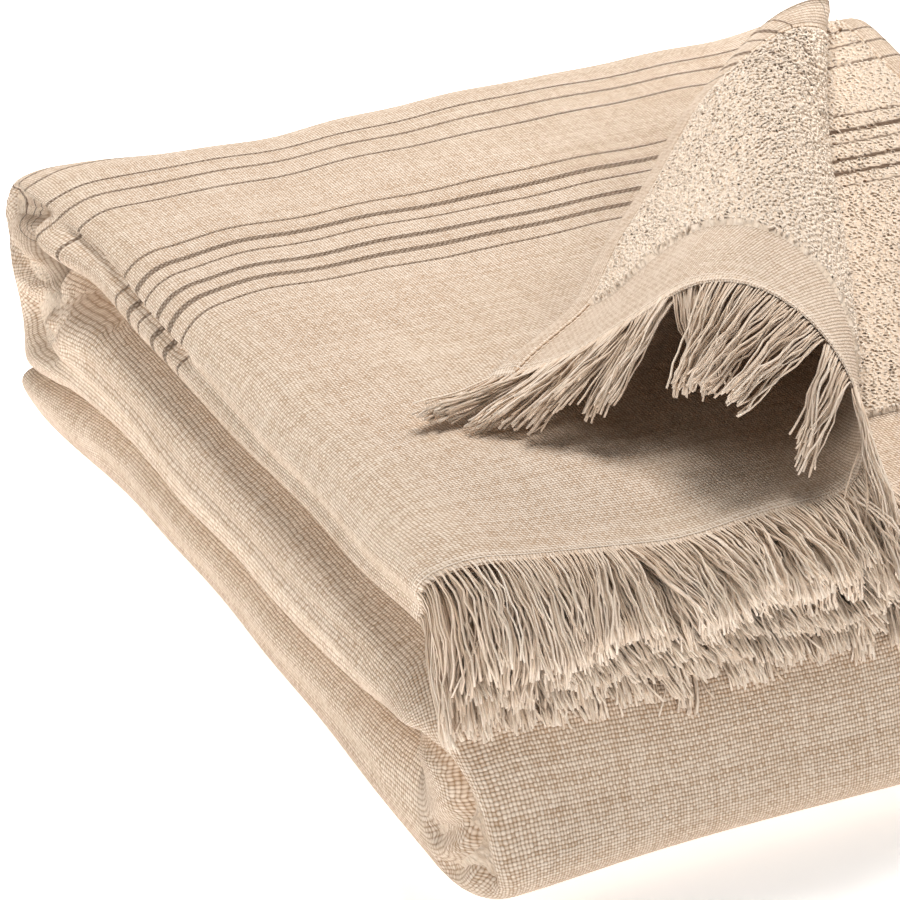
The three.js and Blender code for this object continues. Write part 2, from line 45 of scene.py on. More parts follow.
# The bath sheet's cloth
# One length of cotton, woven flat on its face and in low loops on its back, with both long edges turned over
# twice as narrow hems. It is folded in half across, along and across again, then back and forth in thirds.
cloth_thickness = 2.6
layer_pitch = 3.4
layers_in_bundle = 8
stack_height = 23 * layer_pitch + cloth_thickness
left_axis = 13.2
middle_fold = 246.0
first_selvedge = 230.0
second_selvedge = 243.0
front_axis = 18.8
back_axis = 258.0
doubled_end = 266.0
fringed_end = 2.0
set_back = 18.0
set_back_from = 110.0
half_width_axis = 0.5 * layer_pitch
half_length_axis = 1.5 * layer_pitch
quarter_width_axis = 3.5 * layer_pitch
third_axis = 7.5 * layer_pitch
back_height = 2 * third_axis + 0.5 * layer_pitch
stack_corner = np.array([-120.661, -132.591, 0.0])


def fold_length(height):
    return math.pi * height * 0.5


third_arc = fold_length(layers_in_bundle * layer_pitch)
side_arc = fold_length(quarter_width_axis)
half_a = fold_length(half_width_axis) / 2
half_b = fold_length(half_length_axis) / 2
first_run = doubled_end - front_axis
second_run = back_axis - front_axis
third_start = first_run + second_run + 2 * third_arc
upper_start = middle_fold - left_axis + side_arc
across_of_x = lambda x: upper_start + x - left_axis
length_of_y = lambda y: third_start + back_axis - y


def centre_fold(along, rise, height):
    """A fold in the middle of a length; along is measured from the fold's middle."""
    half = fold_length(height) / 2
    inside = np.abs(along) < half
    angle = math.pi * (along / (2 * half) + 0.5)
    radius = height - rise
    run = np.where(inside, -radius * np.sin(angle), np.abs(along) - half)
    lifted = np.where(along < 0, rise, 2 * height - rise)
    return run, np.where(inside, height - radius * np.cos(angle), lifted)


def side_fold(run, rise):
    """The doubled cloth folded at the stack's left side."""
    start = middle_fold - left_axis
    radius = quarter_width_axis - rise
    angle = math.pi * np.clip((run - start) / side_arc, 0, 1)
    x = left_axis - radius * np.sin(angle)
    x = np.where(run <= start, middle_fold - run, x)
    x = np.where(run >= start + side_arc, left_axis + run - start - side_arc, x)
    return x, quarter_width_axis - radius * np.cos(angle)


def thirds_fold(run, rise):
    """The strip folded back and forth in thirds, from its doubled end below to its fringed ends on top."""
    front = math.pi * np.clip((run - first_run) / third_arc, 0, 1)
    second_rise = 2 * third_axis - rise
    back_start = first_run + third_arc + second_run
    back = math.pi * np.clip((run - back_start) / third_arc, 0, 1)
    front_y = front_axis - (third_axis - rise) * np.sin(front)
    back_y = back_axis + (back_height - second_rise) * np.sin(back)
    y = np.where(run <= first_run, doubled_end - run, front_y)
    y = np.where(run >= first_run + third_arc, front_axis + run - first_run - third_arc, y)
    y = np.where(run >= back_start, back_y, y)
    y = np.where(run >= third_start, back_axis - (run - third_start), y)
    low = third_axis - (third_axis - rise) * np.cos(front)
    high = back_height - (back_height - second_rise) * np.cos(back)
    return y, np.where(run >= back_start, high, low)


def smooth(value):
    part = np.clip(value, 0, 1)
    return part * part * (3 - 2 * part)


# The turned-back corner lifts off the top layer along one slanting line and rolls over to the left as a cone
roll = {
    "apex": (295.0, 395.0),
    "lift_angle": math.radians(27),
    "reach": 430.0,
    "edge_radius": 10.0,
    "crown_radius": 27.0,
    "tail_slope": math.radians(39.4),
    "tail_straight": 25.0,
    "tail_radius": 64.0,
    "rest_height": 4.2,
    "fade": (254.0, 278.0),
}


def roll_section(turn):
    """Cross-section of the turned corner on a circle one unit from the cone's apex: out, up and heading."""
    edge, crown, straight, tail = (
        roll[name] / roll["reach"] for name in ("edge_radius", "crown_radius", "tail_straight", "tail_radius")
    )
    slope = roll["tail_slope"]
    quarter = math.pi / 2
    edge_end = edge * quarter
    crown_end = edge_end + crown * (quarter + slope)
    straight_end = crown_end + straight
    crown_out = edge - crown * (1 + math.sin(slope))
    crown_up = edge + crown * math.cos(slope)
    straight_out = crown_out - straight * math.cos(slope)
    straight_up = crown_up - straight * math.sin(slope)
    at_edge = np.clip(turn, 0, edge_end) / edge
    at_crown = quarter + (np.clip(turn, edge_end, crown_end) - edge_end) / crown
    past = np.clip(turn, crown_end, straight_end) - crown_end
    level = np.minimum((np.maximum(turn, straight_end) - straight_end) / tail, slope)
    out = np.where(turn < edge_end, edge * np.sin(at_edge), edge + crown * (np.sin(at_crown) - 1))
    up = np.where(turn < edge_end, edge * (1 - np.cos(at_edge)), edge - crown * np.cos(at_crown))
    heading = np.where(turn < edge_end, at_edge, at_crown)
    out = np.where(turn >= crown_end, crown_out - past * math.cos(slope), out)
    up = np.where(turn >= crown_end, crown_up - past * math.sin(slope), up)
    heading = np.where(turn >= crown_end, math.pi + slope, heading)
    tail_out = straight_out - tail * (math.sin(slope) - np.sin(slope - level))
    tail_up = straight_up - tail * (np.cos(slope - level) - math.cos(slope))
    out = np.where(turn >= straight_end, tail_out, out)
    up = np.where(turn >= straight_end, tail_up, up)
    heading = np.where(turn >= straight_end, math.pi + slope - level, heading)
    return np.where(turn <= 0, turn, out), np.where(turn <= 0, 0, up), np.where(turn <= 0, 0, heading)


def turned_back(x, y, over):
    """Where points of the flat top layer go when the corner is turned back."""
    apex_x, apex_y = roll["apex"]
    distance = np.hypot(apex_x - x, apex_y - y)
    turn = roll["lift_angle"] - np.arctan2(apex_x - x, apex_y - y)
    out, up, heading = roll_section(turn)
    around = roll["lift_angle"] - out
    sin_a, cos_a, sin_u, cos_u = np.sin(around), np.cos(around), np.sin(up), np.cos(up)
    aside = np.sin(heading) * over
    upright = np.cos(heading) * over
    resting = roll["rest_height"] * smooth((heading - math.pi / 2) / (math.pi / 2))
    place = np.stack([
        apex_x - distance * sin_a * cos_u - cos_a * aside + sin_a * sin_u * upright,
        apex_y - distance * cos_a * cos_u + sin_a * aside + cos_a * sin_u * upright,
        distance * sin_u + resting + cos_u * upright,
    ], axis=-1)
    flat = np.stack([x, y, over], axis=-1)
    start, end = roll["fade"]
    fade = (1 - smooth((y - start) / (end - start)))[..., None]
    return np.where((turn > 0)[..., None], flat + (place - flat) * fade, flat)


# How the stack settles: soft pushes (name, centre, reach, push), each fading out over its reach
settling = [
    ("middle bundle bulges left", (0, 120, 42), (34, 190, 13), (-5, 0, 0)),
    ("bottom bundle tucks in", (0, 190, 4), (34, 130, 12), (5, 0, 0)),
    ("top bundle drawn in", (0, 120, 72), (26, 200, 12), (3, 0, 0)),
    ("notch, upper lip", (8, 268, 66), (30, 34, 12), (-3, 3, 5)),
    ("groove climbs to the back", (0, 262, 56), (30, 80, 17), (0, 0, 6.4)),
    ("notch, lower lip", (6, 262, 44), (26, 30, 11), (5, -7, -5)),
    ("bottom corner spreads", (0, 270, 22), (40, 40, 16), (-3, 3, 0)),
    ("back left corner bulges", (0, 266, 44), (40, 36, 22), (-6, 1, 0)),
    ("middle bundle's end stands out", (0, 232, 47), (18, 13, 5.5), (-3.5, 0, 0)),
    ("lower half of the top bundle's end", (0, 240, 63), (18, 12, 5.5), (-4, 0, 0)),
    ("bottom bundle's corner fills out", (4, 262, 26), (26, 22, 7), (-5, 3, 0)),
    ("turned edge stands steeper below", (74, 102, 88), (26, 26, 14), (6, 0, 0)),
    ("turned edge leans out above", (150, 176, 96), (34, 34, 12), (-3.5, 1, 0)),
    ("groove climbs to the front", (0, 10, 29), (22, 28, 12), (0, 0, 6)),
    ("front left corner stands up", (4, 0, 80), (30, 46, 22), (1, 0, 5)),
    ("front left corner is square", (2, 4, 72), (14, 28, 11), (-3.5, 0, 3.5)),
    ("top layer reaches forward at the left", (44, 0, 80), (44, 26, 8), (0, -4.5, -1.5)),
    ("front left foot", (8, 0, 3), (34, 34, 14), (-2, -5, 0)),
    ("turned corner leans right", (236, 232, 104), (26, 62, 20), (11, 2, 2)),
    ("turned corner's tip stands up", (240, 262, 96), (20, 26, 24), (7, 2, 6)),
    ("back right of the top swells", (200, 262, 80), (110, 64, 44), (0, 0, 4)),
    ("top layer lies loose", (75, 15, 80), (60, 60, 2.6), (0, 0, 0.8)),
    ("front foot spreads", (125, 4, 6), (900, 26, 17), (0, -11, 0)),
    ("middle bundle swells up", (0, 120, 52), (40, 210, 16), (0, 0, 4)),
]

# The main creases: each a soft trough or ridge along a path (name, path, breadth, push)
creases = [
    ("high on the top bundle's side", [(1, 236, 71), (0, 222, 72.5), (0, 200, 70.3), (0, 161, 68.5)],
     2.2, (3.2, 0, 0)),
    ("further along the top bundle's side", [(0, 161, 68.5), (0, 100, 66), (0, 4, 64)], 2.8, (1.6, 0, 0)),
    ("groove under the top bundle", [(4, 226, 55), (4, 120, 54.5), (4, 10, 54.5)], 3.0, (5, 0, 0)),
    ("groove over the bottom bundle", [(4, 240, 27.5), (4, 120, 27), (3, 60, 27.5)], 2.6, (3.5, 0, 0)),
    ("notch under the top", [(-1, 272, 63), (1, 260, 65), (5, 248, 69)], 3.8, (12, -2, 0)),
    ("behind the top bundle's end", [(3, 255, 65), (5, 254, 58)], 2.8, (9, 0, 0)),
    ("beneath the top bundle's end", [(6, 258, 54), (8, 246, 53), (8, 218, 52.5)], 3.2, (7, 0, 0)),
    ("across the back left corner", [(0, 276, 55), (1, 266, 51.5), (3, 259, 51)], 1.8, (4.5, 0, -1)),
    ("over the corner's middle lobe", [(1, 264, 46.5), (3, 254, 48), (6, 242, 50)], 2.0, (6, 0, 0)),
    ("on the corner's middle lobe", [(0, 256, 44), (1, 246, 46), (3, 238, 47.5)], 1.6, (4, 0, 0)),
    ("pocket in the corner", [(0, 268, 44), (0, 261, 40), (0, 252, 40)], 3.0, (7, 0, 0)),
    ("low on the middle bundle", [(0, 250, 38.5), (0, 200, 38.5), (0, 120, 37.5), (0, 40, 38)],
     2.2, (2.4, 0, 0)),
    ("high on the middle bundle", [(0, 230, 43.5), (0, 160, 44), (0, 90, 43.5), (0, 30, 45)],
     1.9, (1.9, 0, 0)),
    ("on the bottom bundle", [(0, 230, 16), (0, 130, 13), (0, 40, 14)], 2.6, (1.4, 0, 0)),
    ("edge of the front fold", [(9, -4, 42), (10, -8, 30), (10, -9, 20), (9, -7, 8)], 5.0, (-3.5, -2, 0)),
    ("beside the front fold", [(2, 40, 28), (1, 20, 31), (1, 4, 35), (3, -3, 32), (4, -5, 24), (4, 0, 9)],
     2.6, (6, 2, 0)),
    ("upper lip in the front fold", [(0, 13, 15), (1, 4, 18.5), (3, -2, 21)], 1.5, (3.5, 1, 0)),
    ("lower lip in the front fold", [(1, 12, 9), (1, 6, 12), (3, 0, 15)], 1.4, (3.5, 1, 0)),
]
front_droop, front_droop_reach = 2.4, 85.0
side_droop, side_droop_reach = 2.0, 34.0
left_taper = 1.5
wave_height, wave_length, wave_slant, wave_stretch = 0.5, 118.0, 0.35, 2.3
ripple_height, ripple_breadth = 0.35, 30.0


def off_path(point, path):
    """How far points lie from a path of straight pieces."""
    nearest = np.full(point.shape[:-1], np.inf)
    for start, end in zip(path, path[1:]):
        start, piece = np.array(start, dtype=float), np.subtract(end, start)
        share = np.clip(((point - start) @ piece) / (piece @ piece), 0, 1)
        nearest = np.minimum(nearest, np.linalg.norm(point - start - share[..., None] * piece, axis=-1))
    return nearest


def settle(point):
    """Settled place of points of the stack, with the small ripples of soft cloth."""
    x, y, z = point[..., 0], point[..., 1], point[..., 2]
    low = np.clip(z / 10, 0, 1)
    share = np.minimum(z / stack_height, 1)
    left = np.clip(1 - x / middle_fold, 0, 1)
    settled = point.copy()
    settled[..., 0] += left_taper * left * smooth(y / back_axis)
    settled[..., 2] -= front_droop * share * (1 - smooth(y / front_droop_reach))
    settled[..., 2] -= side_droop * share * (1 - smooth(x / side_droop_reach))
    wave = np.sin(2 * math.pi * (x - wave_slant * y) / wave_length)
    wave = wave * np.cos(2 * math.pi * y / (wave_stretch * wave_length))
    settled[..., 2] += wave_height * share * low * wave
    # The ripples' spans are uneven, so that no repeat shows
    ripple = np.sin(x / 9.1 + y / 23.0 + 1.3) * np.sin(y / 13.7 - x / 31.0) + 0.6 * np.sin(x / 5.3 - y / 17.9)
    settled[..., 2] += ripple_height * share * low * ripple
    near_side = 1 - smooth((x - 5) / ripple_breadth)
    settled[..., 0] += ripple_height * low * np.sin(y / 11.3 + z / 9.0) * near_side
    for _name, centre, reach, push in settling:
        squares = sum(((point[..., k] - centre[k]) / reach[k]) ** 2 for k in range(3))
        strength = np.exp(-squares)
        for k in range(3):
            settled[..., k] += push[k] * strength * (low if k == 2 else 1)
    for _name, path, breadth, push in creases:
        strength = np.exp(-((off_path(point, path) / breadth) ** 2))
        settled += np.array(push) * (strength * low)[..., None]
    return settled


def folded(across, length, depth):
    """Folded place of flat points of the cloth before it settles; depth runs from its face to its back."""
    run_across, rise_a = centre_fold(across, depth, half_width_axis)
    run_length, rise_b = centre_fold(length, rise_a, half_length_axis)
    x, rise_c = side_fold(run_across, rise_b)
    y, z = thirds_fold(run_length, rise_c)
    outer_quarter = (across < 0) & (length < 0)
    on_top = outer_quarter & (run_across > upper_start) & (run_length > third_start - third_arc / 3)
    below = (stack_height - cloth_thickness - z) / (layers_in_bundle * layer_pitch)
    tuck = set_back * below * smooth((set_back_from - y) / (set_back_from - fringed_end))
    place = np.stack([x, y + np.where(run_length > third_start, tuck, 0), z], axis=-1)
    flat_y = back_axis - (run_length - third_start)
    lifted = turned_back(x, flat_y, -depth) - np.stack([x, flat_y, -depth], axis=-1)
    place = place + np.where(on_top[..., None], lifted, 0)
    place[..., 2] += cloth_thickness / 2
    return place


def steps(places):
    """Stations along a list of places, each reached in steps of about its own size."""
    stations = [places[0][0]]
    for (start, _unused), (end, step) in zip(places, places[1:]):
        count = max(1, math.ceil((end - start) / step - 1e-6))
        stations += [start + (end - start) * part / count for part in range(1, count + 1)]
    return stations


hem_width = 7.2
hem_ridge = 0.8
border_width = 37.0
strip_width = 4.7
root_taper = 2.4
cloth_end = fringed_end - strip_width + 0.5
crumpled = 58.0


def width_steps(selvedge, plain, arc, fine):
    return steps([
        (0, 0), (half_a, half_a / 2),
        (half_a + middle_fold - left_axis, plain),
        (half_a + upper_start, side_arc / arc),
        (half_a + across_of_x(selvedge - hem_width - hem_ridge), fine),
        (half_a + across_of_x(selvedge - hem_width + hem_ridge), hem_ridge),
        (half_a + across_of_x(selvedge), hem_width / 3),
    ])


def length_steps(plain, arc, fine):
    return steps([
        (0, 0), (half_b, half_b / 2),
        (half_b + crumpled, fine),
        (half_b + first_run, plain),
        (half_b + first_run + third_arc, third_arc / arc),
        (half_b + first_run + third_arc + second_run - crumpled, plain * 1.1),
        (half_b + first_run + third_arc + second_run, fine),
        (half_b + third_start, third_arc / arc),
        (half_b + length_of_y(cloth_end + border_width), fine),
        (half_b + length_of_y(cloth_end + border_width - hem_ridge), hem_ridge),
        (half_b + length_of_y(cloth_end + root_taper), fine),
        (half_b + length_of_y(cloth_end), root_taper / 2),
    ])


seen_width = width_steps(first_selvedge, 6.5, 26, 4.0)
hidden_width = width_steps(second_selvedge, 17.0, 12, 12.0)
seen_length = length_steps(8.5, 30, 4.2)
hidden_length = length_steps(17.0, 12, 12.0)
across_stations = np.array([-value for value in reversed(seen_width)] + hidden_width[1:])
length_stations = np.array([-value for value in reversed(seen_length)] + hidden_length[1:])


def looped_share(across, length):
    """One where the back is looped, nought on the hems and on the flat borders by the fringe."""
    selvedge = np.where(across < 0, first_selvedge, second_selvedge)
    from_selvedge = half_a + across_of_x(selvedge) - np.abs(across)
    from_end = half_b + length_of_y(cloth_end) - np.abs(length)
    past_hem = smooth((from_selvedge - hem_width) / hem_ridge)
    past_border = smooth((from_end - border_width + hem_ridge) / hem_ridge)
    return np.minimum(past_hem, past_border), from_selvedge, from_end


def unstretched(value, arcs):
    """Place along the cloth's own threads, where each fold's outer turn takes its true length."""
    true_place = np.abs(value)
    for start, end, factor in arcs:
        true_place = true_place + (factor - 1) * np.clip(np.abs(value) - start, 0, end - start)
    return np.sign(value) * true_place


side_turn = [(half_a + middle_fold - left_axis, half_a + upper_start, 2.0)]
thirds_turns = [
    (half_b + first_run, half_b + first_run + third_arc, 1.875),
    (half_b + third_start - third_arc, half_b + third_start, 1.875),
]
grid_across, grid_length = np.meshgrid(across_stations, length_stations, indexing="ij")
looped, from_selvedge, from_end = looped_share(grid_across, grid_length)
on_stitches = 1 - smooth(np.abs(from_selvedge - hem_width) / hem_ridge)
face_depth = 0.35 * on_stitches - cloth_thickness / 2
plain_back = np.where(from_selvedge < hem_width, 0.9, 0.1)
loop_ground = 1.1
edge_round = 1 - 0.55 * smooth((1.2 - from_selvedge) / 1.2)
edge_round = edge_round * (1 - 0.75 * smooth((root_taper - from_end) / root_taper))
back_depth = plain_back + (loop_ground - plain_back) * looped - 0.6 * on_stitches
face_points = settle(folded(grid_across, grid_length, face_depth * edge_round))
back_points = settle(folded(grid_across, grid_length, back_depth * edge_round))
columns, rows = grid_across.shape
thread_x = unstretched(grid_across, side_turn)
thread_y = unstretched(grid_length, thirds_turns)
thread_end = half_b + length_of_y(cloth_end)
end_place = float(unstretched(np.array([thread_end]), thirds_turns)[0])


def grid_faces(first, flip):
    corner = first + np.arange(columns - 1)[:, None] * rows + np.arange(rows - 1)[None, :]
    quads = np.stack([corner, corner + rows, corner + rows + 1, corner + 1], axis=-1).reshape(-1, 4)
    return quads[:, ::-1] if flip else quads


def wall_faces(line, flip):
    line = np.asarray(line)
    back = line + columns * rows
    quads = np.stack([line[:-1], line[1:], back[1:], back[:-1]], axis=-1)
    return quads[:, ::-1] if flip else quads


face_quads = grid_faces(0, True)
back_quads = grid_faces(columns * rows, False)
walls = np.concatenate([
    wall_faces(np.arange(rows), False),
    wall_faces((columns - 1) * rows + np.arange(rows), True),
    wall_faces(np.arange(columns) * rows, True),
    wall_faces(np.arange(columns) * rows + rows - 1, False),
])
quads = np.concatenate([face_quads, back_quads, walls])
points = np.concatenate([face_points.reshape(-1, 3), back_points.reshape(-1, 3)]) + stack_corner


def make_mesh(name, points_in_mm, faces):
    mesh = bpy.data.meshes.new(name)
    mesh.vertices.add(len(points_in_mm))
    mesh.vertices.foreach_set("co", (points_in_mm * millimetre).astype(np.float32).ravel())
    sides = faces.shape[1]
    mesh.loops.add(faces.size)
    mesh.loops.foreach_set("vertex_index", faces.astype(np.int32).ravel())
    mesh.polygons.add(len(faces))
    mesh.polygons.foreach_set("loop_start", np.arange(len(faces), dtype=np.int32) * sides)
    mesh.polygons.foreach_set("use_smooth", np.ones(len(faces), dtype=bool))
    mesh.update(calc_edges=True)
    piece = bpy.data.objects.new(name, mesh)
    bpy.context.scene.collection.objects.link(piece)
    return piece


bath_sheet = make_mesh("bath_sheet", points, quads)
flat_place = np.stack([thread_x.ravel(), thread_y.ravel()], axis=-1)
flat_place = np.concatenate([flat_place, flat_place]) * millimetre
threads = bath_sheet.data.uv_layers.new(name="threads")
threads.data.foreach_set("uv", flat_place[quads.ravel()].astype(np.float32).ravel())
looped_corner = looped.ravel()[back_quads - columns * rows].max(axis=1) > 0.5
finish_of_face = np.concatenate([np.zeros(len(face_quads)), looped_corner, np.zeros(len(walls))])
bath_sheet.data.polygons.foreach_set("material_index", finish_of_face.astype(np.int32))


def new_finish(name, roughness, sheen, sheen_tint):
    finish = bpy.data.materials.new(name)
    finish.use_nodes = True
    shader = finish.node_tree.nodes["Principled BSDF"]
    shader.inputs["Roughness"].default_value = roughness
    shader.inputs["Specular IOR Level"].default_value = 0.15
    shader.inputs["Sheen Weight"].default_value = sheen
    shader.inputs["Sheen Roughness"].default_value = 0.6
    shader.inputs["Sheen Tint"].default_value = (*sheen_tint, 1)
    return finish, finish.node_tree, shader


def calc(tree, operation, *values):
    node = tree.nodes.new("ShaderNodeMath")
    node.operation = operation
    for index, value in enumerate(values):
        if isinstance(value, (int, float)):
            node.inputs[index].default_value = value
        else:
            tree.links.new(value, node.inputs[index])
    return node.outputs[0]


def blend_colours(tree, share, first, second):
    node = tree.nodes.new("ShaderNodeMix")
    node.data_type = "RGBA"
    tree.links.new(share, node.inputs["Factor"])
    for socket, colour in ((node.inputs[6], first), (node.inputs[7], second)):
        if isinstance(colour, tuple):
            socket.default_value = (*colour, 1)
        else:
            tree.links.new(colour, socket)
    return node.outputs[2]


def thread_places(tree, end_pitch, pick_pitch):
    """The cloth's own place, counted in warp ends and in weft picks."""
    flat = tree.nodes.new("ShaderNodeUVMap")
    flat.uv_map = "threads"
    split = tree.nodes.new("ShaderNodeSeparateXYZ")
    tree.links.new(flat.outputs["UV"], split.inputs[0])
    ends = calc(tree, "DIVIDE", split.outputs[0], end_pitch * millimetre)
    picks = calc(tree, "DIVIDE", split.outputs[1], pick_pitch * millimetre)
    return flat.outputs["UV"], split.outputs[1], ends, picks


def cloudy(tree, vector, scale, detail):
    noise = tree.nodes.new("ShaderNodeTexNoise")
    noise.inputs["Scale"].default_value = scale
    noise.inputs["Detail"].default_value = detail
    tree.links.new(vector, noise.inputs["Vector"])
    return noise.outputs["Fac"]


def swing(tree, value, amount, base=0.0):
    """A value between nought and one, turned into a swing to either side of a base."""
    return calc(tree, "MULTIPLY_ADD", calc(tree, "SUBTRACT", value, 0.5), amount, base)


def raise_surface(tree, shader, height, strength, rise):
    bump = tree.nodes.new("ShaderNodeBump")
    bump.inputs["Strength"].default_value = strength
    bump.inputs["Distance"].default_value = rise * millimetre
    tree.links.new(height, bump.inputs["Height"])
    tree.links.new(bump.outputs[0], shader.inputs["Normal"])


# Weft stripes, each by its distance from the cloth's end and its width, three groups towards each end
stripes = [
    (163.9, 1.1), (172.1, 2.5), (180.4, 2.5), (189.9, 1.1), (197.2, 2.5), (206.5, 1.1),
    (236.3, 1.1), (246.6, 1.1), (255.1, 1.1),
    (270.0, 1.1), (278.0, 1.1), (286.0, 1.1),
]


def stripe_share(tree, length_socket, wobble, softness):
    from_end = calc(tree, "ADD", from_cloth_end(tree, length_socket), wobble)
    total = None
    for distance, width in stripes:
        off = calc(tree, "ABSOLUTE", calc(tree, "SUBTRACT", from_end, distance * millimetre))
        edge = calc(tree, "SUBTRACT", (width / 2 + softness) * millimetre, off)
        band = calc(tree, "DIVIDE", edge, 2 * softness * millimetre)
        band = calc(tree, "MINIMUM", calc(tree, "MAXIMUM", band, 0.0), 1.0)
        total = band if total is None else calc(tree, "MAXIMUM", total, band)
    return total


cream = (0.875, 0.76, 0.65)
# The dark brown below is painted shade, laid into the hollows between the threads
pit_shade_colour = (0.49, 0.335, 0.215)
stripe_brown = (0.165, 0.105, 0.066)
end_pitch, pick_pitch = 0.7425, 0.905
heavy_picks, heavy_pick_width = (1.2, 2.7, 4.2), 0.55


def clamp(tree, value):
    return calc(tree, "MINIMUM", calc(tree, "MAXIMUM", value, 0.0), 1.0)


def own_shade(tree, *counts):
    """A random number of its own for each whole count, such as each warp end or each crossing."""
    place = tree.nodes.new("ShaderNodeCombineXYZ")
    for index, count in enumerate(counts):
        tree.links.new(calc(tree, "FLOOR", count), place.inputs[index])
    noise = tree.nodes.new("ShaderNodeTexWhiteNoise")
    tree.links.new(place.outputs[0], noise.inputs["Vector"])
    return noise.outputs["Value"]


def weave(tree, ends, picks):
    """A plain weave with pits at its corners: each crossing's height, and where the weft lies on top."""
    end_wave = calc(tree, "SINE", calc(tree, "MULTIPLY", ends, math.pi))
    pick_wave = calc(tree, "SINE", calc(tree, "MULTIPLY", picks, math.pi))
    end_round = calc(tree, "POWER", calc(tree, "ABSOLUTE", end_wave), 0.6)
    pick_round = calc(tree, "POWER", calc(tree, "ABSOLUTE", pick_wave), 0.6)
    warp_swing = calc(tree, "MULTIPLY", calc(tree, "SIGN", end_wave), pick_wave)
    weft_swing = calc(tree, "MULTIPLY", calc(tree, "SIGN", pick_wave), end_wave)
    warp_top = calc(tree, "MULTIPLY_ADD", warp_swing, -0.40, calc(tree, "MULTIPLY", end_round, 0.6))
    weft_top = calc(tree, "MULTIPLY_ADD", weft_swing, 0.30, calc(tree, "MULTIPLY", pick_round, 0.5))
    weft_up = clamp(tree, calc(tree, "MULTIPLY_ADD", calc(tree, "SUBTRACT", weft_top, warp_top), 4.0, 0.5))
    return calc(tree, "MAXIMUM", warp_top, weft_top), weft_up


def from_cloth_end(tree, length_socket):
    return calc(tree, "SUBTRACT", end_place * millimetre, calc(tree, "ABSOLUTE", length_socket))


flat_weave, tree, shader = new_finish("flat_weave", 0.95, 0.2, (1.0, 0.93, 0.85))
flat, length_socket, ends, picks = thread_places(tree, end_pitch, pick_pitch)
drift = swing(tree, cloudy(tree, flat, 45, 3), 1.1)
drift = swing(tree, cloudy(tree, flat, 420, 2), 0.55, drift)
ends = calc(tree, "ADD", ends, drift)
picks = calc(tree, "ADD", picks, drift)
height, weft_up = weave(tree, ends, picks)
end_shade = own_shade(tree, ends)
pick_shade = own_shade(tree, picks)
crossing_shade = own_shade(tree, ends, picks)
mottle = cloudy(tree, flat, 55, 4)
thick = swing(tree, crossing_shade, 0.24, height)
thick = swing(tree, end_shade, 0.10, thick)
thick = swing(tree, pick_shade, 0.13, thick)
near_end = from_cloth_end(tree, length_socket)
for place in heavy_picks:
    off = calc(tree, "ABSOLUTE", calc(tree, "SUBTRACT", near_end, place * millimetre))
    band = clamp(tree, calc(tree, "SUBTRACT", 1.0, calc(tree, "DIVIDE", off, heavy_pick_width * millimetre)))
    thick = calc(tree, "MULTIPLY_ADD", band, 0.4, thick)
# Where the weave is low, at the corners between crossings, the colour is painted dark brown: painted shade in
# its hollows
pit_shade = clamp(tree, calc(tree, "MULTIPLY_ADD", thick, -1.6, 1.45))
pit_shade = clamp(tree, swing(tree, mottle, 0.22, pit_shade))
ground = blend_colours(tree, pit_shade, cream, pit_shade_colour)
wobble = swing(tree, cloudy(tree, flat, 500, 2), 0.7 * millimetre)
stripe = stripe_share(tree, length_socket, wobble, 0.22)
stripe = calc(tree, "MULTIPLY", stripe, calc(tree, "MULTIPLY_ADD", weft_up, 0.32, 0.66))
stripe = calc(tree, "MULTIPLY", stripe, calc(tree, "MULTIPLY_ADD", crossing_shade, 0.25, 0.80))
tree.links.new(blend_colours(tree, stripe, ground, stripe_brown), shader.inputs["Base Color"])
raise_surface(tree, shader, calc(tree, "MULTIPLY_ADD", stripe, 0.35, thick), 1.0, 0.34)

# Under the loops lies a ground weave; between the tufts its colour is painted darker, as painted shade
loop_row, loop_width = 1.5, 1.35
looped_back, tree, shader = new_finish("looped_back", 0.97, 0.3, (1.0, 0.93, 0.85))
flat, length_socket, ends, picks = thread_places(tree, loop_width, loop_row)
tufts = tree.nodes.new("ShaderNodeTexVoronoi")
tufts.feature = "F1"
tufts.inputs["Scale"].default_value = 1.0
tufts.inputs["Randomness"].default_value = 0.75
spread = tree.nodes.new("ShaderNodeCombineXYZ")
bend = swing(tree, cloudy(tree, flat, 160, 3), 2.2)
tree.links.new(calc(tree, "ADD", ends, bend), spread.inputs[0])
tree.links.new(calc(tree, "ADD", picks, bend), spread.inputs[1])
tree.links.new(spread.outputs[0], tufts.inputs["Vector"])
tuft_height = calc(tree, "SUBTRACT", 1.0, calc(tree, "MULTIPLY", tufts.outputs["Distance"], 1.15))
tuft_height = swing(tree, cloudy(tree, flat, 1500, 3), 0.6, tuft_height)
# Where the tufts are low the colour is painted darker: painted shade in the hollows between the loops
hollow_shade = clamp(tree, calc(tree, "MULTIPLY", calc(tree, "SUBTRACT", 0.85, tuft_height), 1.5))
ground = blend_colours(tree, hollow_shade, (0.86, 0.745, 0.63), (0.76, 0.63, 0.505))
wobble = swing(tree, cloudy(tree, flat, 500, 3), 3.0 * millimetre)
stripe = stripe_share(tree, length_socket, wobble, 0.5)
tree.links.new(blend_colours(tree, stripe, ground, stripe_brown), shader.inputs["Base Color"])
raise_surface(tree, shader, tuft_height, 0.8, 0.9)

bath_sheet.data.materials.append(flat_weave)
bath_sheet.data.materials.append(looped_back)
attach(bath_sheet, "root")
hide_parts("cloth")

# The loops of the back
# The pile warp stands up between the picks as small closed loops, in rows across the cloth, and leans every
# way. They are modelled where the back can be seen: on the turned-back corner and the layer that it bares.
loop_span, loop_rise, loop_sink, loop_yarn = 1.2, 0.95, 0.5, 0.74
loop_steps = np.array([0.0, 0.32, 0.68, 1.0])
loop_corners = 3
edge_rows = (0.4, 2.6)
field_start = 4.4
first_column = 90.0
hem_clearance = 0.9


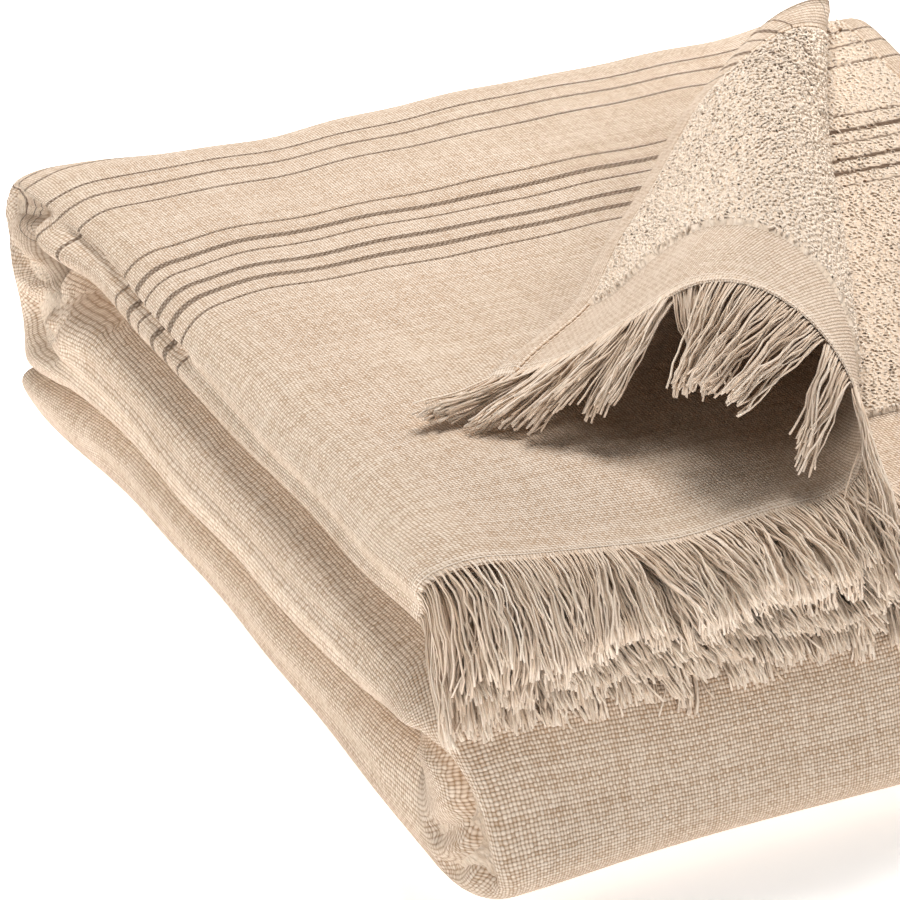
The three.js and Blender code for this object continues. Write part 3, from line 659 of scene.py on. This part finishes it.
def tube_faces(count, rings, corners):
    """Triangles of closed tubes, one after another, each of a number of rings of corners."""
    base = (np.arange(count) * rings * corners)[:, None, None]
    ring = (np.arange(rings - 1) * corners)[None, :, None]
    corner = np.arange(corners)[None, None, :]
    after = (corner + 1) % corners
    start = base + ring
    sides = [start + corner, start + corners + corner, start + corners + after, start + after]
    sides = np.stack(sides, axis=-1).reshape(-1, 4)
    first = np.arange(count) * rings * corners
    last = first + (rings - 1) * corners
    first_cap = np.stack([first, first + 1, first + 2], -1)
    last_cap = np.stack([last + 2, last + 1, last], -1)
    return np.concatenate([sides[:, [0, 1, 2]], sides[:, [0, 2, 3]], first_cap, last_cap])


def mark(piece, name, values):
    attribute = piece.data.attributes.new(name, "FLOAT", "POINT")
    attribute.data.foreach_set("value", values.astype(np.float32))


def in_stripe(from_end, spread):
    """How far a place lies inside one of the weft stripes."""
    share = np.zeros_like(from_end)
    for distance, width in stripes:
        share = np.maximum(share, smooth((width / 2 + spread - np.abs(from_end - distance)) / spread))
    return share


def make_loops(name, side, selvedge, bare_share, seed):
    draw = np.random.default_rng(seed)
    first_row = cloth_end + border_width
    last_column = selvedge - hem_width - hem_clearance
    field_rows = np.arange(first_row + field_start, back_axis + 2, loop_row)
    rows = np.concatenate([first_row + np.array(edge_rows), field_rows])
    columns = np.arange(first_column, last_column, loop_width)
    x, y = (axis.ravel() for axis in np.meshgrid(columns, rows))
    loose = np.where(y < first_row + field_start - 0.1, 0.35, 1.0)
    y = y + 0.5 * np.sin(x / 4.3 + 0.6 * np.sin(y / 7.0)) * loose + draw.normal(0, 0.22, x.size) * loose
    x = x + draw.normal(0, 0.28, x.size)
    apex_x, apex_y = roll["apex"]
    turn = roll["lift_angle"] - np.arctan2(apex_x - x, apex_y - y)
    from_end = y - cloth_end
    bare = draw.random(x.size) < bare_share * in_stripe(from_end, 0.8)
    kept = (turn > 0.002) & ~bare & (x < last_column)
    x, y, from_end = x[kept], y[kept], from_end[kept]
    count = x.size
    yaw = draw.normal(0, 0.6, count)
    span = loop_span * draw.uniform(0.75, 1.2, count)
    rise = loop_rise * draw.uniform(0.7, 1.1, count)
    lean_x, lean_y = draw.normal(0, 0.35, count), draw.normal(0.25, 0.3, count)
    half = loop_yarn / 2 * draw.uniform(0.8, 1.15, count)
    arch = np.sin(math.pi * loop_steps)[None]
    along = (loop_steps - 0.5)[None] * span[:, None]
    centre = np.stack([
        x[:, None] + along * np.sin(yaw)[:, None] + lean_x[:, None] * arch,
        y[:, None] + along * np.cos(yaw)[:, None] + lean_y[:, None] * arch,
        loop_ground - loop_sink + rise[:, None] * arch,
    ], axis=-1)
    ahead = np.gradient(centre, axis=1)
    ahead = ahead / np.linalg.norm(ahead, axis=2, keepdims=True)
    sideways = np.stack([np.cos(yaw), -np.sin(yaw), np.zeros(count)], axis=-1)[:, None]
    sideways = sideways - ahead * (sideways * ahead).sum(axis=2, keepdims=True)
    sideways = sideways / np.linalg.norm(sideways, axis=2, keepdims=True)
    outward = np.cross(sideways, ahead)
    rings = []
    for corner in range(loop_corners):
        angle = 2 * math.pi * corner / loop_corners + 0.5
        offset = math.cos(angle) * sideways + math.sin(angle) * outward
        rings.append(centre + half[:, None, None] * offset)
    flat_place = np.stack(rings, axis=2).reshape(-1, 3)
    across = side * (half_a + upper_start + flat_place[:, 0] - left_axis)
    length = -(half_b + third_start + back_axis - flat_place[:, 1])
    points = settle(folded(across, length, flat_place[:, 2])) + stack_corner
    faces = tube_faces(count, loop_steps.size, loop_corners)
    piece = make_mesh(name, points, faces if side > 0 else faces[:, ::-1])
    dyed = in_stripe(from_end, 0.9) * draw.uniform(0, 1, count) * bare_share
    mark(piece, "tone", np.repeat(draw.uniform(0, 1, count), loop_steps.size * loop_corners))
    mark(piece, "dyed", np.repeat(dyed, loop_steps.size * loop_corners))
    # One at a loop's foot and nought at its top, used to paint shade low on the loop
    mark(piece, "foot", np.tile(np.repeat(1 - arch[0], loop_corners), count))
    return piece


def named_value(tree, name):
    node = tree.nodes.new("ShaderNodeAttribute")
    node.attribute_name = name
    return node.outputs["Fac"]


loop_finish, tree, shader = new_finish("loop_yarn", 0.95, 0.3, (1.0, 0.95, 0.88))
place = tree.nodes.new("ShaderNodeTexCoord")
fibres = cloudy(tree, place.outputs["Object"], 1600, 3)
tone = swing(tree, fibres, 0.7, calc(tree, "MULTIPLY", named_value(tree, "tone"), 0.6))
# Each loop is painted darker towards its foot: painted shade down among the loops
tone = clamp(tree, calc(tree, "MULTIPLY_ADD", named_value(tree, "foot"), 0.4, tone))
yarn_colour = blend_colours(tree, tone, (0.92, 0.815, 0.71), (0.83, 0.71, 0.59))
dyed = clamp(tree, calc(tree, "MULTIPLY", named_value(tree, "dyed"), 1.5))
tree.links.new(blend_colours(tree, dyed, yarn_colour, (0.30, 0.19, 0.115)), shader.inputs["Base Color"])
raise_surface(tree, shader, fibres, 0.5, 0.2)

for name, side, selvedge, bare_share, seed in (
    ("loops_of_turned_corner", -1, first_selvedge, 0.25, 23),
    ("loops_of_bared_layer", 1, second_selvedge, 0.75, 29),
):
    loops = make_loops(name, side, selvedge, bare_share, seed)
    loops.data.materials.append(loop_finish)
    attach(loops, "root")

# The stitches of the hems
# Each long edge is turned over twice to the back and held by one row of lockstitch in cotton thread, which
# sinks into the cloth on both sides.
stitch_pitch, stitch_length, stitch_width = 2.6, 2.0, 0.42
stitch_depths = (0.55, 0.28 - cloth_thickness / 2)
stitch_corners = 4
stitch_rings = np.array([-0.5, -0.3, 0.3, 0.5])
ring_size = np.array([0.35, 1.0, 1.0, 0.35])


def make_stitches(name, side, selvedge):
    reach = half_b + length_of_y(cloth_end + 1.5)
    middle = np.arange(-reach, reach, stitch_pitch)
    count = middle.size
    line = half_a + across_of_x(selvedge - hem_width)
    sets = []
    for depth in stitch_depths:
        rings = []
        for corner in range(stitch_corners):
            angle = math.pi * (corner / 2 + 0.25)
            rings.append(np.stack(np.broadcast_arrays(
                side * (line + stitch_width / 2 * math.cos(angle) * ring_size[None]),
                middle[:, None] + stitch_length * stitch_rings[None],
                depth + stitch_width / 2 * math.sin(angle) * ring_size[None],
            ), axis=-1))
        sets.append(np.stack(rings, axis=2).reshape(-1, 3))
    flat_place = np.concatenate(sets)
    points = settle(folded(flat_place[:, 0], flat_place[:, 1], flat_place[:, 2])) + stack_corner
    stitch_count = len(stitch_depths) * count
    faces = tube_faces(stitch_count, stitch_rings.size, stitch_corners)
    first = np.arange(stitch_count) * stitch_rings.size * stitch_corners
    last = first + (stitch_rings.size - 1) * stitch_corners
    first_half = np.stack([first, first + 2, first + 3], -1)
    last_half = np.stack([last + 3, last + 2, last], -1)
    faces = np.concatenate([faces, first_half, last_half])
    return make_mesh(name, points, faces if side > 0 else faces[:, ::-1])


thread_finish, tree, shader = new_finish("sewing_thread", 0.8, 0.1, (1.0, 0.95, 0.88))
place = tree.nodes.new("ShaderNodeTexCoord")
twist = cloudy(tree, place.outputs["Object"], 2600, 2)
thread_colour = blend_colours(tree, twist, (0.80, 0.67, 0.54), (0.64, 0.50, 0.375))
tree.links.new(thread_colour, shader.inputs["Base Color"])
for name, side, selvedge in (
    ("stitches_of_outer_hem", -1, first_selvedge),
    ("stitches_of_inner_hem", 1, second_selvedge),
):
    stitches = make_stitches(name, side, selvedge)
    stitches.data.materials.append(thread_finish)
    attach(stitches, "root")

# The fringe of each end
# The cloth's own warp yarns, left unwoven past the last pick and cut to one length. They are not knotted, so
# they gather in loose locks, cross each other and hang over the front of the stack.
fringe_length = 30.0
yarn_width = 0.60
yarn_steps = 10
yarn_corners = 3
yarns_per_end = 2.3
yarns_in_lock, yarns_in_strand = (12, 34), (2, 6)
root_inside, course_inside = 2.2, 4.2
front_edge, gentle_fall = -2, 0.15
bundle_floor = 2 * layers_in_bundle * layer_pitch + cloth_thickness / 2
first_reach, face_clearance = 3.2, 1.6
steep, shallow = (0.58, 1.0), (0.72, 0.46)
laying_clearance = 0.8
course_steps = 44

# How the locks of the turned-back corner are swept, by where they start along the cloth's end: from, to,
# heading, share of the fringe's length, how far they gather
corner_locks = [
    (80, 96, (0.16, -0.80, -0.50), 0.95, 0.30),
    (96, 112, (0.05, -0.62, -0.78), 1.05, 0.35),
    (112, 124, (0.00, -0.46, -0.88), 1.20, 0.45),
    (124, 134, (-0.50, -0.20, -0.84), 0.85, 0.60),
    (134, 143, (-0.86, -0.22, -0.46), 1.00, 0.55),
    (143, 152, (-0.80, -0.16, -0.60), 1.00, 0.55),
    (152, 165, (-0.52, -0.16, -0.84), 0.95, 0.50),
    (165, 174, (0.20, -0.25, -0.95), 0.85, 0.65),
    (174, 186, (-0.62, -0.12, -0.78), 0.95, 0.35),
    (186, 202, (-0.80, -0.10, -0.58), 0.94, 0.30),
    (202, 216, (-0.92, -0.16, -0.36), 0.88, 0.35),
    (216, 232, (-0.97, -0.20, -0.14), 0.86, 0.70),
]


def front_face(z, clearance):
    radius = third_axis + cloth_thickness / 2 + clearance
    rise = np.clip((z - cloth_thickness / 2 - third_axis) / radius, -1, 1)
    return front_axis - radius * np.sqrt(1 - rise * rise)


def hanging_courses(root):
    """Courses of yarns that lie out over the front edge and then hang, finely stepped: yarn, step, place."""
    height = root[:, 2] - bundle_floor
    outward = smooth((root[:, 0] - 22) / 50)
    reach_share = steep[0] + (shallow[0] - steep[0]) * outward
    drop_share = steep[1] + (shallow[1] - steep[1]) * outward
    reach = first_reach + reach_share * height
    drop = first_reach + drop_share * height
    shell = face_clearance + reach_share * height
    part = np.linspace(0, 2.2, course_steps * 2)[None, :]
    angle = np.minimum(part, 1) * math.pi / 2
    z = root[:, 2, None] - drop[:, None] * (1 - np.cos(angle)) - np.maximum(part - 1, 0) * fringe_length
    y = np.minimum(root[:, 1, None] - reach[:, None] * np.sin(angle), front_face(z, shell[:, None]))
    x = np.broadcast_to(root[:, 0, None], y.shape)
    course = np.stack([x, y, z], axis=-1)
    course[:, 0] = root
    return course


def swept_courses(root, outward, aim, turning):
    """Courses of yarns that leave the turned corner, bend to their lock's heading and land on the stack."""
    heading = outward / np.linalg.norm(outward, axis=1, keepdims=True)
    shell = face_clearance + shallow[0] * (stack_height - bundle_floor)
    floor = stack_height + laying_clearance
    course = [root]
    for _index in range(course_steps):
        heading = heading + turning[:, None] * (aim - heading)
        heading = heading / np.linalg.norm(heading, axis=1, keepdims=True)
        point = course[-1] + heading
        before = course[-1][:, 2]
        on_cloth = (point[:, 1] > front_edge) & (point[:, 2] < floor)
        height = np.where(on_cloth, np.maximum(point[:, 2], before - gentle_fall), point[:, 2])
        point[:, 2] = np.where(on_cloth & (before <= floor), np.maximum(height, floor), height)
        off_face = np.minimum(point[:, 1], front_face(point[:, 2], shell))
        point[:, 1] = np.where(point[:, 1] <= front_edge, off_face, point[:, 1])
        course.append(point)
    return np.stack(course, axis=1)


def along_courses(course, distances):
    """Places at the given distances along each course."""
    spans = np.linalg.norm(np.diff(course, axis=1), axis=2)
    travelled = np.concatenate([np.zeros((len(course), 1)), np.cumsum(spans, axis=1)], axis=1)
    placed = np.empty((len(course), distances.shape[1], 3))
    for yarn in range(len(course)):
        for axis in range(3):
            placed[yarn, :, axis] = np.interp(distances[yarn], travelled[yarn], course[yarn, :, axis])
    return placed


def in_groups(draw, count, smallest, largest):
    """Neighbours gathered in groups of uneven size: each one's group number."""
    group = np.zeros(count, dtype=int)
    place, index = 0, 0
    while place < count:
        size = int(draw.integers(smallest, largest))
        group[place:place + size] = index
        place, index = place + size, index + 1
    return group


def off_middle(across, group):
    """How far each yarn lies from the middle of its group."""
    middle = np.bincount(group, weights=across) / np.maximum(np.bincount(group), 1)
    return across - middle[group]


def make_fringe(name, end, seed):
    draw = np.random.default_rng(seed)
    limits = (-(half_a + across_of_x(first_selvedge)) + 0.5, half_a + across_of_x(second_selvedge) - 0.5)
    count = int((limits[1] - limits[0]) / end_pitch * yarns_per_end)
    across = np.linspace(*limits, count) + draw.normal(0, 0.10, count)
    tip = half_b + length_of_y(cloth_end)
    depth = np.where(np.arange(count) % 2 == 0, -0.88, 0.05) + draw.normal(0, 0.06, count)
    at = lambda value, length: folded(value, end * np.full_like(value, length), depth)
    root = at(across, tip - root_inside)
    outward = root - at(across, tip - course_inside)
    edge = at(across + 0.5, tip - root_inside) - at(across - 0.5, tip - root_inside)
    edge = edge / np.linalg.norm(edge, axis=1, keepdims=True)
    along_end = -across - half_a - upper_start + left_axis
    lifted = (end < 0) & (root[:, 2] > stack_height + 0.15)

    # Neighbouring yarns cling in strands of two to five, and these gather in locks that lean together
    lock = in_groups(draw, count, *yarns_in_lock)
    strand = in_groups(draw, count, *yarns_in_strand)
    for start, stop, *_rest in corner_locks:
        in_row = lifted & (along_end >= start) & (along_end < stop)
        lock[in_row] = lock.max() + 1
    locks = lock.max() + 1
    lock_lean = draw.normal(0, 2.2, locks) + 2.0 * np.sin(np.arange(locks) / 2.7)
    lock_pull = draw.uniform(0.15, 0.75, locks)
    lock_length = draw.uniform(0.84, 1.04, locks)
    lock_lift = draw.uniform(-0.4, 1.6, locks)
    from_lock = off_middle(across, lock)
    from_strand = off_middle(across, strand)
    pull = lock_pull[lock]
    length = fringe_length * lock_length[lock] * draw.uniform(0.93, 1.02, count)
    aim = np.tile([0.0, -0.6, -0.8], (count, 1))
    for start, stop, heading, length_share, gather in corner_locks:
        in_row = lifted & (along_end >= start) & (along_end < stop)
        aim[in_row] = heading
        length[in_row] = fringe_length * length_share * draw.uniform(0.94, 1.02, int(in_row.sum()))
        pull[in_row] = gather
    out_over = smooth((root[:, 0] - 18) / 30) * smooth((root[:, 2] - bundle_floor) / 10)
    length = np.where(lifted, length, length * (1 - 0.12 * out_over))
    lean = np.where(lifted, 0, lock_lean[lock] + 5.0 * out_over * np.sign(edge[:, 0] + 1e-9))
    lean = lean + draw.normal(0, 0.7, count)
    stray = draw.random(count) < np.where(lifted, 0.015, 0.05)
    lean = lean + np.where(stray, draw.normal(0, 5, count), 0)
    aim = aim + draw.normal(0, 0.05, aim.shape)
    aim = aim + stray[:, None] * draw.normal(0, 0.3, aim.shape)
    aim = aim / np.linalg.norm(aim, axis=1, keepdims=True)
    turning = draw.uniform(0.16, 0.24, count)

    share = np.linspace(0, 1, yarn_steps + 1)
    fine = np.linspace(0, 1, 60)[None] * (length * 1.15)[:, None]
    swept = along_courses(swept_courses(root, outward, aim, turning), fine)
    hanging = along_courses(hanging_courses(root), fine)
    centre = along_courses(np.where(lifted[:, None, None], swept, hanging), share[None] * length[:, None])
    bow = share ** 1.4
    gathered = from_lock * pull
    sideways = lean[:, None] * bow[None] - gathered[:, None] * share[None] ** 1.3
    sideways = sideways - (0.45 * from_strand)[:, None] * smooth(share * 2)[None]
    strand_phase = draw.uniform(0, 6.3, strand.max() + 1)[strand]
    strand_pitch = draw.uniform(9, 19, strand.max() + 1)[strand]
    phase = draw.uniform(0, 6.3, count)
    travelled = share[None] * length[:, None]
    wave = 0.42 * np.sin(strand_phase[:, None] + travelled / strand_pitch[:, None] * 2 * math.pi)
    wave = wave + 0.16 * np.sin(phase[:, None] + travelled * 1.1)
    sideways = sideways + wave * smooth(share * 2.5)[None]
    ahead = np.gradient(centre, axis=1)
    ahead = ahead / np.maximum(np.linalg.norm(ahead, axis=2, keepdims=True), 1e-6)
    across_way = edge[:, None] - ahead * (edge[:, None] * ahead).sum(axis=2, keepdims=True)
    across_way = across_way / np.maximum(np.linalg.norm(across_way, axis=2, keepdims=True), 1e-6)
    out_way = np.cross(across_way, ahead)
    lift = lock_lift[lock][:, None] * bow[None] + 0.35 * np.cos(strand_phase[:, None] + travelled * 0.3)
    lift = lift * smooth(share * 3)[None] * np.sign(out_way[:, :, 2:3].mean(axis=1) + 1e-9)
    centre = settle(centre + across_way * sideways[..., None] + out_way * lift[..., None])

    # Each yarn is a slim three-sided tube with a closed root and tip
    half = yarn_width / 2 * draw.uniform(0.8, 1.15, count)[:, None, None]
    girth = (1 + 0.12 * share ** 4)[None, :, None]
    rings = []
    for corner in range(yarn_corners):
        turn = 2 * math.pi * corner / yarn_corners + phase[:, None, None]
        rings.append(centre + half * girth * (np.cos(turn) * across_way + np.sin(turn) * out_way))
    points = np.stack(rings, axis=2).reshape(-1, 3) + stack_corner
    piece = make_mesh(name, points, tube_faces(count, yarn_steps + 1, yarn_corners))
    shade = 0.7 * draw.uniform(0, 1, count) + 0.3 * draw.uniform(0, 1, strand.max() + 1)[strand]
    mark(piece, "tone", np.repeat(shade, (yarn_steps + 1) * yarn_corners))
    mark(piece, "reach", np.tile(np.repeat(share, yarn_corners), count))
    return piece


yarn_finish, tree, shader = new_finish("fringe_yarn", 0.9, 0.3, (1.0, 0.93, 0.85))
place = tree.nodes.new("ShaderNodeTexCoord")
fibres = cloudy(tree, place.outputs["Object"], 1400, 3)
tone = swing(tree, fibres, 0.7, named_value(tree, "tone"))
tone = clamp(tree, calc(tree, "MULTIPLY_ADD", named_value(tree, "reach"), -0.25, tone))
yarn_colour = blend_colours(tree, tone, (0.90, 0.785, 0.67), (0.69, 0.54, 0.41))
tree.links.new(yarn_colour, shader.inputs["Base Color"])
raise_surface(tree, shader, fibres, 0.6, 0.2)

for name, node, end, seed in (
    ("outer_fringe", "fringe_outer_end", -1, 41),
    ("inner_fringe", "fringe_inner_end", 1, 57),
):
    fringe = make_fringe(name, end, seed)
    fringe.data.materials.append(yarn_finish)
    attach(fringe, "root")
    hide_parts(node)

# The plain floor, the soft studio light and the camera
# A pale floor that gives off some light of its own, a dim even sky, and four soft lights: one overhead, one
# from the right, one from the left and a low strip in front.
floor_half = 6.0
floor_points = np.array([[-1, -1, 0], [1, -1, 0], [1, 1, 0], [-1, 1, 0]]) * floor_half / millimetre
floor = make_mesh("floor", floor_points - np.array([0, 0, 0.2]), np.array([[0, 1, 2, 3]]))
floor_finish, tree, shader = new_finish("pale_floor", 0.9, 0.0, (1, 1, 1))
shader.inputs["Base Color"].default_value = (0.93, 0.93, 0.93, 1)
shader.inputs["Emission Color"].default_value = (1.0, 0.99, 0.98, 1)
shader.inputs["Emission Strength"].default_value = 0.62
floor.data.materials.append(floor_finish)

sky = bpy.data.worlds.new("studio")
sky.use_nodes = True
sky.node_tree.nodes["Background"].inputs["Color"].default_value = (1.0, 0.985, 0.965, 1)
sky.node_tree.nodes["Background"].inputs["Strength"].default_value = 0.07
bpy.context.scene.world = sky
bpy.context.scene.view_settings.view_transform = "Standard"
bpy.context.scene.view_settings.gamma = 0.86
light_aim = Vector((0, 0, 0.05))


def soft_light(name, place, width, height, power):
    lamp = bpy.data.lights.new(name, "AREA")
    lamp.shape = "ELLIPSE"
    lamp.size = width
    lamp.size_y = height
    lamp.energy = power
    lamp.color = (1.0, 0.982, 0.962)
    holder = bpy.data.objects.new(name, lamp)
    holder.location = place
    holder.rotation_euler = (light_aim - Vector(place)).to_track_quat("-Z", "Y").to_euler()
    bpy.context.scene.collection.objects.link(holder)


soft_light("overhead", (0.25, 0.35, 1.25), 0.7, 0.7, 19)
soft_light("key", (1.2, 0.1, 0.7), 0.6, 0.6, 5)
soft_light("left fill", (-1.2, 0.4, 0.4), 0.5, 0.5, 7)
soft_light("front strip", (-0.3, -1.1, 0.06), 1.5, 0.1, 5)

camera_turn = math.radians(22.738)
camera_dip = math.radians(24.312)
camera_roll = math.radians(-2.643)
camera_distance = 1.0596
camera_aim = (np.array([64.224, 137.285, 40.0]) + stack_corner) * millimetre
forward = Vector((
    math.sin(camera_turn) * math.cos(camera_dip),
    math.cos(camera_turn) * math.cos(camera_dip),
    -math.sin(camera_dip),
))
level_right = Vector((math.cos(camera_turn), -math.sin(camera_turn), 0))
level_up = level_right.cross(forward)
right = math.cos(camera_roll) * level_right + math.sin(camera_roll) * level_up
up = -math.sin(camera_roll) * level_right + math.cos(camera_roll) * level_up
lens = bpy.data.cameras.new("camera")
lens.sensor_fit = "HORIZONTAL"
lens.sensor_width = 36
lens.lens = 172
lens.clip_start = 0.05
camera = bpy.data.objects.new("camera", lens)
turn = Matrix((right, up, -forward)).transposed().to_4x4()
camera.matrix_world = Matrix.Translation(Vector(camera_aim) - forward * camera_distance) @ turn
bpy.context.scene.collection.objects.link(camera)
bpy.context.scene.camera = camera
